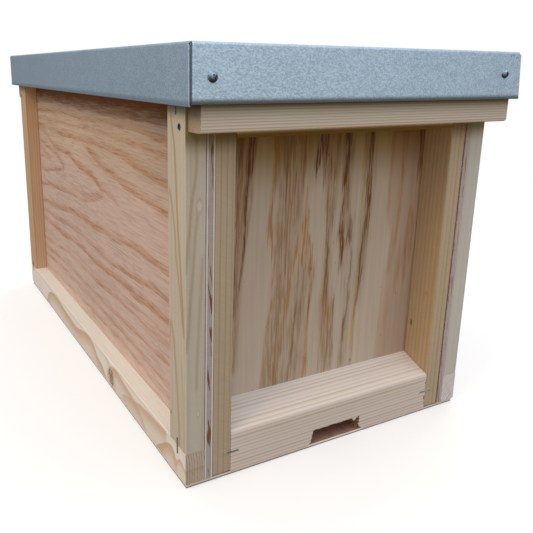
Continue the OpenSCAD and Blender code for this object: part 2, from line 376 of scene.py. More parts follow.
# Sawn and planed softwood: growth rings round a pith line that lies outside the stick, so the faces
# show side grain and the sawn ends show the same rings as arcs
grainOrder = {"X": (1, 2, 0), "Y": (0, 2, 1), "Z": (0, 1, 2)}

# Among the defaults are tints of painted shade in a gap at a foot and on a lower edge under the hand bar.
# Painted shade by face, in bands and in a crack by the slot, and a painted arris highlight, are off unless a
# lath sets them
softwood = {
    "early": (0.61, 0.525, 0.4), "late": (0.44, 0.285, 0.13), "uneven": 0.9, "wander": 0.001,
    "wanderRun": 3.0, "lateFrom": 0.52, "lateDepth": 0.85, "slope": (0.0, 0.0), "fibre": 0.18, "blotch": 0.14,
    "rough": 0.62, "saw": 0.0, "endTone": (0.78, 0.74, 0.69), "footGap": None, "knots": (), "flames": (),
    "drawn": (), "kerf": 0.3, "endRings": 0.3, "grimeBelow": None, "grime": (0.37, 0.25, 0.028),
    "faceTone": None, "slotStain": None, "eaveShade": (), "shadeTop": None, "paleArris": None,
    "flame": (0.56, 0.385, 0.235), "gapTone": (0.06, 0.032, 0.02), "specular": 0.25,
}


def knotsIn(look, count):
    hearts = []
    for point, long, wide, pull, tone, rim in look["knots"]:
        gapParts = split(vectorCalc("SUBTRACT", place(), point))
        gap = join(*(gapParts[i] for i in grainOrder[look["grain"]]))
        ragged = cloud(place(), (420.0,) * 3, look["seed"] + 23.0, detail=3.0)
        reach = shaken(vectorCalc("LENGTH", vectorCalc("DIVIDE", gap, (wide, wide, long))), ragged, 1.0)
        swell = calc("POWER", math.e, times(times(reach, reach), -0.16))
        count = mulAdd(swell, pull, count)
        inside = times(spread(reach, 1.0, 0.6), spread(ragged, 0.36, 0.58, 0.75, 1.0))
        edge = times(spread(gapTo(reach, 0.95), 0.38, 0.06), spread(ragged, 0.62, 0.42, 0.15, 0.9))
        hearts.append((inside, tone, edge, rim))
    return count, hearts


# Flat-sawn flames: tan below a crisp edge, fading out further down. Each has a strength, the depth
# of its fade and a row of places along the grain and up, in millimetres
def flamesIn(look, along, up, colour):
    if not look["flames"]:
        return colour
    reach = 0.231
    shake = cloud(join(0.0, up, along), (1.0, 200.0, 60.0), look["seed"] + 29.0)
    for strength, fade, row in look["flames"]:
        drawn = metres(row)
        below = shaken(minus(trace(along, -reach, reach, drawn), up), shake, 0.0022)
        share = times(spread(below, -0.0003, 0.0009), spread(below, 0.0012, fade / 1000, 1.0, 0.3))
        ends = between(along, min(drawn)[0], max(drawn)[0], 0.004, 0.002)
        colour = paint(times(share, times(ends, strength)), colour, look["flame"])
    return colour


# Single growth lines drawn on one face: the face, a strength, a half breadth and a row of places
# along the grain and across it, in millimetres
def linesIn(look, along, sides, colour):
    if not look["drawn"]:
        return colour
    lift = 0.3
    shake = cloud(join(*sides, along), (160.0, 160.0, 40.0), look["seed"] + 31.0)
    for face, strength, half, row in look["drawn"]:
        drawn = [(at, to + lift) for at, to in metres(row)]
        first, last = min(drawn)[0], max(drawn)[0]
        off = minus(plus(sides[1 - face], lift), trace(along, first, last, drawn))
        off = calc("ABSOLUTE", shaken(off, shake, 0.0012))
        share = spread(off, half * 0.0026, half * 0.0004, 0.0, strength)
        share = times(times(share, between(along, first, last, 0.003, 0.003)), facing(face))
        colour = paint(share, colour, look["late"])
    return colour


# Painted light and shade: painted shade in the gap under a batten's foot and on a lower edge under the hand
# bar, darker walls inside the broken slot and painted shadow in the crack beside it, painted shade under the
# roof and the hand bar, and a painted highlight on the hand bar's rounded lower arris
def dirtOn(look, stick, x, z, colour):
    foot, grimy = look["footGap"], look["grimeBelow"]
    # painted shade: a dark ragged strip along the foot, standing in for the shadow of a gap
    if foot:
        ragged = mulAdd(cloud(stick, (700.0, 700.0, 300.0), look["seed"] + 19.0), 0.0022, z)
        colour = paint(spread(ragged, foot + 0.0012, foot + 0.0006), colour, look["gapTone"])
    # painted shade on the lower edge, which sits in the shade of the hand bar
    if grimy:
        colour = stain(spread(z, grimy + 0.003, grimy), colour, look["grime"])
    # darker brown walls inside the broken slot, and painted shadow in the crack where the sill's end meets
    # the batten
    if look["slotStain"]:
        halfSpan, slotTop, sillEnd, tint = look["slotStain"]
        within = times(spread(calc("ABSOLUTE", x), halfSpan, halfSpan - 0.0005),
                       spread(z, slotTop, slotTop - 0.0005))
        walls = times(within, minus(1.0, facing(1)))
        joint = times(spread(x, sillEnd - 0.0011, sillEnd - 0.0004), spread(lean(2), 0.4, 0.7))
        colour = stain(calc("MAXIMUM", walls, joint), colour, tint)
    # painted shade in bands, darkest at the top, ending at a lip's line where one is given
    for axis, low, high, tint in look["eaveShade"]:
        share = spread(z, low, high)
        if look["shadeTop"]:
            share = times(share, spread(z, look["shadeTop"] + 0.0025, look["shadeTop"]))
        if axis is not None:
            share = times(share, facing(axis))
        colour = stain(share, colour, tint)
    # painted highlight: the rounded lower front arris is lightened
    if look["paleArris"]:
        drop = lean(2)
        rolled = times(spread(drop, -0.05, -0.4), spread(drop, -0.85, -0.6))
        colour = stain(times(rolled, spread(lean(1), -0.15, -0.35)), colour, look["paleArris"])
    return colour


def timber(node, **changes):
    look = dict(softwood, **changes)
    seed = look["seed"]
    startMaterial("timber_" + node)
    parts = split(place())
    across, up, along = (parts[i] for i in grainOrder[look["grain"]])
    stick = join(across, up, along)
    drift = cloud(stick, (14.0, 14.0, look["wanderRun"]), seed, colour=True)
    drift = vectorCalc("SCALE", vectorCalc("SUBTRACT", drift, (0.5, 0.5, 0.5)), scale=2 * look["wander"])
    offsets = []
    for value, pith, slope, push in zip((across, up), look["pith"], look["slope"], split(drift)):
        offsets.append(plus(minus(mulAdd(along, slope, value), pith), push))
    radius = vectorCalc("LENGTH", join(*offsets, 0.0))
    pace = cloud(join(radius, 0.0, 0.0), (0.45 / look["ring"], 1.0, 1.0), seed + 3.0, detail=1.0)
    count = mulAdd(radius, 1.0 / look["ring"], times(pace, look["uneven"]))
    count, hearts = knotsIn(look, count)
    tone = add("TexWhiteNoise")
    tone.noise_dimensions = "1D"
    plug(tone.inputs["W"], calc("FLOOR", count))
    band = curve(calc("FRACT", count),
                 ((0.0, 0.0), (look["lateFrom"], 0.06), (0.8, 0.6), (0.89, 1.0), (0.95, 0.6), (1.0, 0.0)))
    late = times(times(band, mulAdd(tone.outputs["Value"], 0.6, 0.4)), look["lateDepth"])
    fibre = cloud(stick, (1500.0, 1500.0, 24.0), seed + 7.0, detail=3.0, rough=0.6)
    blotch = cloud(stick, (38.0, 38.0, 7.0), seed + 11.0)
    colour = paint(late, look["early"], look["late"])
    colour = flamesIn(look, along, up, colour)
    colour = linesIn(look, along, (across, up), colour)
    for inside, heartTone, edge, rim in hearts:
        colour = paint(edge, colour, rim)
        colour = paint(inside, colour, heartTone)
    value = times(around(fibre, look["fibre"]), around(blotch, look["blotch"]))
    # painted light and shade by face: faces turned along one axis take a tint
    if look["faceTone"]:
        axis, tint = look["faceTone"]
        colour = stain(facing(axis), colour, tint)
    sawn = facing("XYZ".index(look["grain"]))
    colour = stain(sawn, colour, look["endTone"])
    kerf = cloud(join(mulAdd(up, 0.8, across), up, 0.0), (700.0, 50.0, 1.0), seed + 37.0)
    ends = times(around(kerf, look["kerf"]), mulAdd(band, -look["endRings"], 1.1))
    value = times(value, mulAdd(minus(ends, 1.0), sawn, 1.0))
    height = mulAdd(band, 0.6, times(fibre, 0.8))
    if look["saw"]:
        slant = mulAdd(plus(across, up), 0.5, along)
        marks = cloud(join(across, up, slant), (120.0, 120.0, 900.0), seed + 17.0)
        value = times(value, around(marks, 0.3 * look["saw"]))
        height = mulAdd(marks, look["saw"], height)
    colour = dirtOn(look, stick, parts[0], parts[2], colour)
    coat(node, brighten(colour, value), mulAdd(fibre, 0.2, look["rough"] - 0.1), height, 0.0003, 0.35,
         look["specular"])


# Each lath has the way its grain runs, the place of its pith beside it, the breadth of a ring and a seed
def lath(grain, pith, ring, seed, **more):
    return dict(more, grain=grain, pith=pith, ring=ring, seed=seed)


# Painted shade bands under the hand bar on front faces and under the roof's side flange on side faces: axis,
# from and to height, tint
underBar = ((1, 0.2195, 0.23, (0.62, 0.6, 0.52)), (1, 0.2255, 0.232, (0.7, 0.66, 0.48)))
underRoof = ((0, 0.24, 0.25, (0.55, 0.53, 0.44)),)
pinEye = (0.67, 0.6, 0.49)
pinRim = (0.5, 0.4, 0.27)
creamRail = {"early": (0.935, 0.85, 0.755), "late": (0.74, 0.56, 0.39), "flame": (0.66, 0.45, 0.265)}
paleSill = {"early": (0.82, 0.7, 0.585), "late": (0.47, 0.3, 0.185), "lateFrom": 0.42, "wander": 0.0005}
sideFrame = {
    "left_front_post": lath(
        "Z", (-0.105, -0.2), 0.0034, 2.0, slope=(0.01, -0.012), lateDepth=0.28, saw=0.3,
        early=(0.6, 0.53, 0.412), late=(0.42, 0.275, 0.125), eaveShade=underBar + underRoof,
        knots=(
            ((-0.1155, -0.23, 0.1908), 0.004, 0.0018, 0.4, pinEye, pinRim),
            ((-0.1158, -0.23, 0.0537), 0.0022, 0.001, 0.3, pinEye, pinRim),
            ((-0.125, -0.2075, 0.046), 0.0016, 0.0007, 0.1, (0.16, 0.07, 0.05), (0.3, 0.17, 0.12))),
        drawn=(
            (0, 0.75, 0.8, (245, -210, 235, -212.5, 225, -215.3, 215, -216.5, 200, -217.6, 175, -220,
                            150, -223.3, 125, -226.2, 108, -227.6)),
            (0, 0.6, 0.8, (199, -207.4, 197, -208.4, 193, -210, 183, -212.8, 175, -215, 158, -217,
                           147, -219.5, 133, -222.8, 115, -226)),
            (0, 0.35, 0.8, (198, -207, 190, -206, 178, -205.2)),
            (0, 0.6, 0.9, (112.5, -208, 110.5, -209.4, 105, -211.7, 92, -214.2, 75, -216.5, 58, -218.7,
                           42, -220, 26, -220.8)),
            (0, 0.4, 0.8, (112, -208, 103, -207.2, 92, -206)),
            (0, 0.3, 0.7, (90, -224, 60, -226.4, 26, -227.6)),
            (1, 0.5, 0.7, (232, -118, 207, -118.3, 195, -120.5, 175, -122.5, 150, -124.6)),
            (1, 0.45, 0.7, (187, -116.7, 167, -118.8, 133, -121.3, 98, -123.9)),
            (1, 0.4, 0.7, (160, -113.2, 125, -115, 100, -116.3, 70, -117.3)))),
    "right_front_post": lath(
        "Z", (0.16, -0.2), 0.0045, 3.0, lateDepth=0.4, saw=0.3, early=(0.66, 0.605, 0.51),
        late=(0.53, 0.45, 0.335), eaveShade=underBar + underRoof),
    "left_rear_post": lath(
        "Z", (-0.178, 0.217), 0.0029, 4.0, lateFrom=0.35, early=(0.64, 0.44, 0.27),
        late=(0.44, 0.235, 0.115)),
    "right_rear_post": lath("Z", (0.098, 0.19), 0.0048, 5.0),
    "left_bottom_rail": lath(
        "Y", (-0.2, 0.012), 0.0018, 6.0, **creamRail, wander=0.0004, endTone=(0.58, 0.52, 0.455),
        # top and bottom faces darker and greyer than the sides: painted shade
        faceTone=(2, (0.84, 0.84, 0.79)),
        knots=(((-0.125, -0.081, 0.0114), 0.0058, 0.0058, 0.8, (0.36, 0.235, 0.145), (0.13, 0.085, 0.06)),),
        flames=(
            (0.85, 16.0, (154, 2, 149, 6, 142, 15, 134, 18.7, 121, 22.4, 105, 23.4, 90, 22.4, 68, 20,
                          46, 18.7, 24, 18, 12, 19.9, 0, 22.8, -15, 24.6, -30, 23, -44, 15, -56, 12,
                          -66, 5)),
            (0.75, 13.0, (-72, 14, -76.5, 19.6, -84, 22.8, -95.6, 24.3, -110, 22.5, -125, 20.3,
                          -141, 18.8, -147, 20.3, -162, 22.5, -184, 24.7, -198, 25.5)),
            (0.55, 9.0, (-110, 10, -122, 14, -135, 16, -150, 13, -160, 6)),
            (0.85, 14.0, (-179, 3, -184, 7, -191, 12.1, -201.5, 18.8, -209, 19.8, -215, 14)),
            (0.7, 6.0, (-215, 11, -219, 16.5, -224, 17, -229, 14)))),
    "right_bottom_rail": lath(
        "Y", (0.15, -0.02), 0.0026, 7.0, endTone=(0.94, 1.0, 1.13), early=(0.84, 0.735, 0.61),
        late=(0.6, 0.45, 0.31)),
    "left_top_rail": lath("Y", (-0.15, 0.29), 0.003, 8.0),
    "right_top_rail": lath("Y", (0.16, 0.28), 0.0032, 9.0),
}
endFrame = {
    # The front battens get painted shade along the foot and under the hand bar
    "left_front_batten": lath(
        "Z", (-0.17, -0.19), 0.0037, 12.0, saw=0.5, lateFrom=0.6, footGap=0.003, early=(0.515, 0.405, 0.265),
        late=(0.36, 0.2, 0.085), eaveShade=underBar),
    "right_front_batten": lath(
        "Z", (0.14, -0.27), 0.0029, 13.0, saw=0.4, lateDepth=0.7, footGap=0.003, early=(0.55, 0.39, 0.222),
        # front and back faces lighter and bluer than the sides: painted light
        late=(0.34, 0.18, 0.07), faceTone=(1, (1.03, 1.12, 1.26)), eaveShade=underBar,
        knots=(((0.091, -0.2085, 0.07), 0.0032, 0.0009, 0.8, (0.16, 0.07, 0.03), (0.36, 0.18, 0.07)),
               ((0.091, -0.222, 0.099), 0.002, 0.0011, 0.4, (0.46, 0.29, 0.15), (0.38, 0.21, 0.09)))),
    "left_rear_batten": lath("Z", (-0.16, 0.26), 0.003, 14.0),
    "right_rear_batten": lath("Z", (0.06, 0.17), 0.0028, 15.0, saw=0.4),
    # its lower edge, under the hand bar, gets painted shade
    "front_lug_rail": lath("X", (-0.15, 0.2), 0.0028, 16.0, grimeBelow=0.2315),
    "rear_lug_rail": lath("X", (0.15, 0.3), 0.0028, 17.0),
    "entrance_sill": lath(
        "X", (-0.277, -0.084), 0.0024, 18.0, **paleSill,
        # darker slot walls, and painted shadow where the sill's end meets the batten
        slotStain=(0.0262, 0.0156, 0.091, (0.62, 0.45, 0.32))),
    "rear_sill": lath("X", (0.14, -0.05), 0.002, 19.0, **paleSill),
    "front_hand_bar": lath(
        "X", (-0.17, 0.17), 0.0012, 20.0, wander=0.0003, uneven=0.5, lateFrom=0.35, lateDepth=0.95,
        early=(0.69, 0.6, 0.475), late=(0.39, 0.265, 0.155), endTone=(0.66, 0.6, 0.54), kerf=0.6,
        # painted highlight on the rounded lower front arris
        paleArris=(1.36, 1.38, 1.42), shadeTop=0.252,
        # painted shade under the roof's front lip, ending at the lip's line
        eaveShade=((None, 0.2395, 0.249, (0.62, 0.6, 0.53)), (None, 0.2462, 0.2512, (0.42, 0.36, 0.19)))),
    "rear_hand_bar": lath("X", (0.17, 0.15), 0.002, 21.0, wander=0.0005),
}
roofFrame = {
    "front_roof_rim": lath("X", (-0.2, 0.22), 0.003, 24.0),
    "rear_roof_rim": lath("X", (0.2, 0.23), 0.003, 25.0),
    "left_roof_rim": lath("Y", (-0.09, 0.23), 0.003, 26.0),
    "right_roof_rim": lath("Y", (0.09, 0.3), 0.003, 27.0),
}
for group in (sideFrame, endFrame, roofFrame):
    for node, look in group.items():
        timber(node, **look)
print("timber dressed")


# A board's material starts with the place, its three parts and the middle and half of the board's thickness
def startBoard(kind, node, axis):
    startMaterial(kind + "_" + node)
    sheet = place()
    low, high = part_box(node)
    return sheet, split(sheet), (low[axis] + high[axis]) / 2, (high[axis] - low[axis]) / 2


# Cut edges of plywood: two pale face veneers, thin glue lines and a core with dark lens-shaped gaps, with
# painted shade in the cracks along both faces and, on one side, in a wider gap
plyEdge = {"veneer": (0.74, 0.7, 0.64), "core": (0.49, 0.405, 0.33), "spot": (0.22, 0.095, 0.04),
           "glue": (0.22, 0.15, 0.1), "joint": (0.07, 0.05, 0.035), "open": (0.1, 0.05, 0.03)}
rosyEdge = dict(plyEdge, veneer=(0.62, 0.54, 0.49), core=(0.56, 0.46, 0.4), spot=(0.42, 0.27, 0.2),
                joint=(0.3, 0.22, 0.18))


def edgeOf(depth, middle, half, veneer, spots, fibre, openSide=None):
    look = plyEdge if openSide is None else rosyEdge
    skin = half - veneer
    inside = gapTo(depth, middle)
    colour = paint(spots, look["core"], look["spot"])
    colour = paint(spread(inside, skin - 0.0001, skin + 0.0001), colour, look["veneer"])
    colour = paint(spread(gapTo(inside, skin), 0.00025, 0.00005, 0.0, 0.55), colour, look["glue"])
    # painted shade in the cracks along both faces, and in the wider gap on one side
    colour = paint(spread(inside, half - 0.0003, half - 0.0001, 0.0, 0.85), colour, look["joint"])
    if openSide is not None:
        gap = shaken(gapTo(depth, openSide), fibre, 0.0012)
        colour = paint(spread(gap, 0.0013, 0.0007, 0.0, 0.9), colour, look["open"])
    return brighten(colour, around(fibre, 0.2))


# The side panels: flat-sawn oak veneer, its porous rings drawn as lines of height along the panel.
# Each has a strength, a breadth and a row of places along and up, in millimetres
oakPanel = {
    "base": (0.69, 0.512, 0.412), "band": (0.52, 0.288, 0.172), "pore": (0.34, 0.155, 0.078),
    "veneer": 0.0014, "flip": 0.285, "reach": 0.207,
    "upperTint": (0.92, 0.92, 0.82), "upperRun": (0.15, 0.215, 0.0, 0.8),
    "cornerTint": (0.8, 0.78, 0.78), "cornerRun": (-0.1, -0.185), "cornerRise": (0.165, 0.222),
    "eaveStain": (0.39, 0.2, 0.03), "eaveRun": (0.2295, 0.245), "eaveRagged": 0.016,
    "barTint": (0.45, 0.41, 0.28), "barRun": (0.219, 0.2325),
    "rings": (
        (0.45, 5.0, (-206, 32.5, -172, 33, -60, 35, 20, 36, 100, 35, 206, 30)),
        (0.6, 4.5, (-206, 43, -172, 43.5, -120, 44.5, -60, 46, 0, 47, 40, 48, 100, 48, 180, 45.5,
                    206, 45)),
        (0.65, 5.0, (-206, 60, -120, 60, -60, 57, 0, 57, 40, 58, 80, 59, 140, 57, 180, 55, 206, 56)),
        (0.6, 5.0, (-206, 75, -120, 75, -80, 74.5, -40, 73, 0, 72, 40, 73, 80, 74, 120, 72, 150, 68,
                    206, 66.5)),
        (0.35, 4.0, (-206, 83, -100, 82, 0, 79, 60, 80, 100, 80, 140, 78, 206, 75)),
        (1.0, 6.0, (-206, 93, -172, 93, -140, 92, -110, 92, -80, 93, -40, 92, 0, 91, 20, 92, 50, 94,
                    100, 91, 160, 90.5, 206, 90)),
        (0.8, 5.0, (-206, 110, -172, 109, -120, 107, -80, 105, -40, 104, 0, 105, 30, 107, 60, 108,
                    120, 105, 160, 103, 206, 101)),
        (1.0, 6.5, (-206, 130, -130, 131, -100, 132, -60, 128, -20, 126, 20, 125, 60, 124, 100, 122,
                    140, 117, 180, 114, 206, 112)),
        (0.75, 5.5, (-33, 161, -28, 157.5, -20, 155, 0, 150, 20, 147, 60, 144, 100, 142, 140, 139,
                     180, 136, 206, 132)),
        (0.7, 5.0, (-31, 160, -20, 157, 0, 154, 20, 152, 50, 152, 70, 151)),
        (0.85, 6.0, (-35, 161, -30, 164, -20, 168, 0, 173, 30, 176, 50, 178, 70, 183, 100, 185, 140, 186,
                     150, 189, 170, 195, 190, 197, 206, 200)),
        (0.6, 5.0, (-72, 160, -60, 163, -40, 165, -30, 168)),
        (0.75, 5.0, (94, 168, 105, 172, 120, 177, 140, 179, 170, 181, 190, 184, 206, 187)),
        (0.75, 5.0, (93, 168, 105, 165, 130, 161, 150, 157, 170, 154, 206, 152)),
        (0.55, 6.0, (156, 170, 175, 172, 190, 176, 206, 178)),
        (0.55, 5.0, (150, 169, 170, 167, 190, 168, 206, 166)),
        (1.0, 6.5, (-206, 168, -172, 171, -150, 174, -130, 175, -100, 177, -80, 179, -60, 183, -40, 185,
                    -20, 190, 10, 197)),
        (0.85, 6.0, (-206, 188, -172, 191, -130, 195, -100, 199, -80, 201, -60, 203, 0, 204, 60, 203,
                     150, 203, 206, 203)),
        (0.6, 4.5, (-206, 211, -172, 212, -100, 213.5, -20, 215, 60, 215, 100, 214, 160, 212, 206, 211)),
        (0.7, 5.0, (-206, 221, -172, 222, -100, 225, -60, 226, 20, 224, 60, 225, 100, 224, 206, 220)),
        (0.8, 5.5, (-206, 234, -100, 233, 0, 234, 100, 235, 206, 232))),
}


def oakPly(node, turned, seed):
    look = oakPanel
    sheet, (x, y, z), middle, half = startBoard("oakPly", node, 0)
    along = times(y, -1.0) if turned else y
    up = minus(look["flip"], z) if turned else z
    big = cloud(sheet, (20.0, 16.0, 30.0), seed, detail=1.0)
    small = cloud(sheet, (20.0, 50.0, 800.0), seed + 5.0, detail=3.0)
    height = shaken(shaken(up, big, 0.006), small, 0.0036)
    band = 0.0
    for strength, breadth, row in look["rings"]:
        drawn = metres(row)
        first, last = min(drawn)[0], max(drawn)[0]
        off = minus(height, trace(along, -look["reach"], look["reach"], drawn))
        share = times(spread(off, -0.0004 * breadth, 0.0),
                      spread(off, 0.0014 * breadth, 0.0001 * breadth, 0.0, strength))
        if first > -0.2:
            share = times(share, spread(along, first - 0.003, first + 0.006))
        if last < 0.2:
            share = times(share, spread(along, last + 0.01, last - 0.006))
        band = calc("MAXIMUM", band, share)
    weight = cloud(sheet, (20.0, 11.0, 40.0), seed + 9.0)
    band = times(band, spread(weight, 0.25, 0.7, 0.55, 1.0))
    dash = cloud(sheet, (40.0, 42.0, 1150.0), seed + 13.0, rough=0.6)
    fibre = cloud(sheet, (60.0, 44.0, 900.0), seed + 17.0, detail=3.0, rough=0.6)
    wash = cloud(sheet, (10.0, 8.0, 14.0), seed + 21.0)
    face = paint(times(band, 0.8), look["base"], look["band"])
    poreDepth = times(spread(dash, 0.5, 0.6), mulAdd(band, 0.4, 0.28))
    face = paint(poreDepth, face, look["pore"])
    face = stain(spread(up, *look["upperRun"]), face, look["upperTint"])
    outer = spread(lean(0), 0.0, 0.5 if turned else -0.5)
    # painted shade in the upper front corner of the outer face, upper rear on the turned panel
    corner = times(spread(along, *look["cornerRun"]), spread(z, *look["cornerRise"]))
    face = stain(times(outer, corner), face, look["cornerTint"])
    # painted shade under the eave: a dark ragged band along the top of the outer face
    eave = spread(shaken(z, small, look["eaveRagged"]), *look["eaveRun"])
    face = stain(times(outer, eave), face, look["eaveStain"])
    face = brighten(face, times(around(fibre, 0.3), around(wash, 0.2)))
    lens = cloud(join(mulAdd(z, 0.1, x), y, z), (520.0, 40.0, 44.0), seed + 25.0, detail=1.0)
    openSide = middle - half if turned else None
    edge = edgeOf(x, middle, half, look["veneer"], spread(lens, 0.53, 0.63), fibre, openSide)
    # painted shade on the cut edge, below the hand bar
    edge = stain(spread(z, *look["barRun"]), edge, look["barTint"])
    ridge = minus(times(fibre, 0.5), times(poreDepth, 1.2))
    coat(node, paint(facing(0), edge, face), mulAdd(fibre, 0.2, 0.5), ridge, 0.00025, 0.4, 0.16)


oakPly("left_side_panel", False, 31.0)
oakPly("right_side_panel", True, 47.0)


